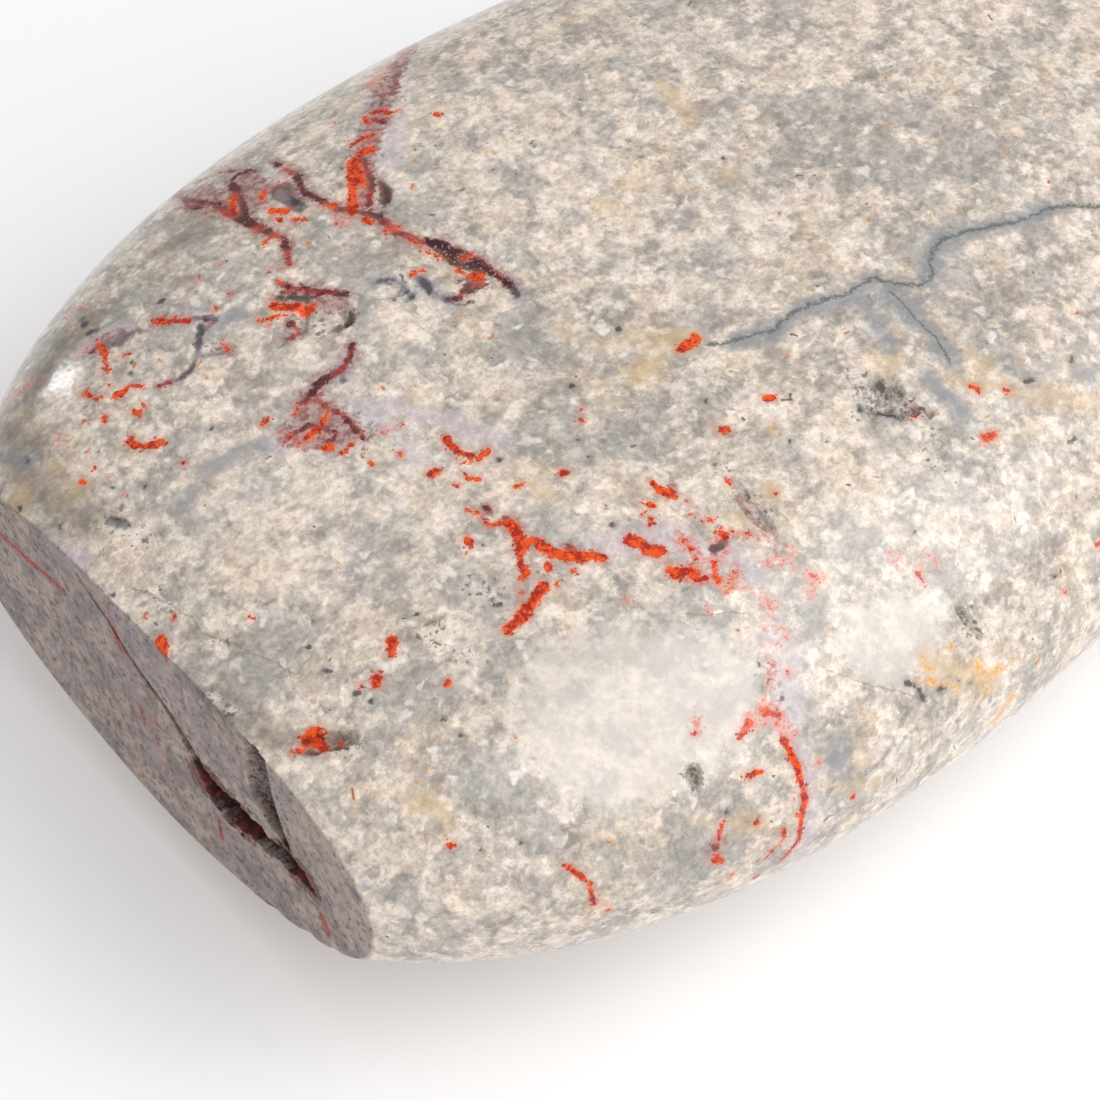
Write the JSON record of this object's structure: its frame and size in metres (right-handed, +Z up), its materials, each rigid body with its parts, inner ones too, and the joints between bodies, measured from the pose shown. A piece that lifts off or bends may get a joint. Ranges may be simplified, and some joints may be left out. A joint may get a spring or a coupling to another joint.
{
  "type": "chalcedony freeform",
  "caption": "Polished pebble-shaped stone, rounded at one end and sawn flat at the other, lying on its broad back.",
  "frame": {"origin": "under the middle of the stone, on the surface that it rests on", "axes": "+X from the sawn face to the rounded tip, +Y across to the squarer flank, +Z up out of the crown"},
  "size_m": [0.119, 0.0814, 0.0352],
  "materials": {
    "stone": "polished grey and cream rock with vermilion specks"
  },
  "bodies": {
    "root": {"stone": "stone"}
  },
  "joints": []
}
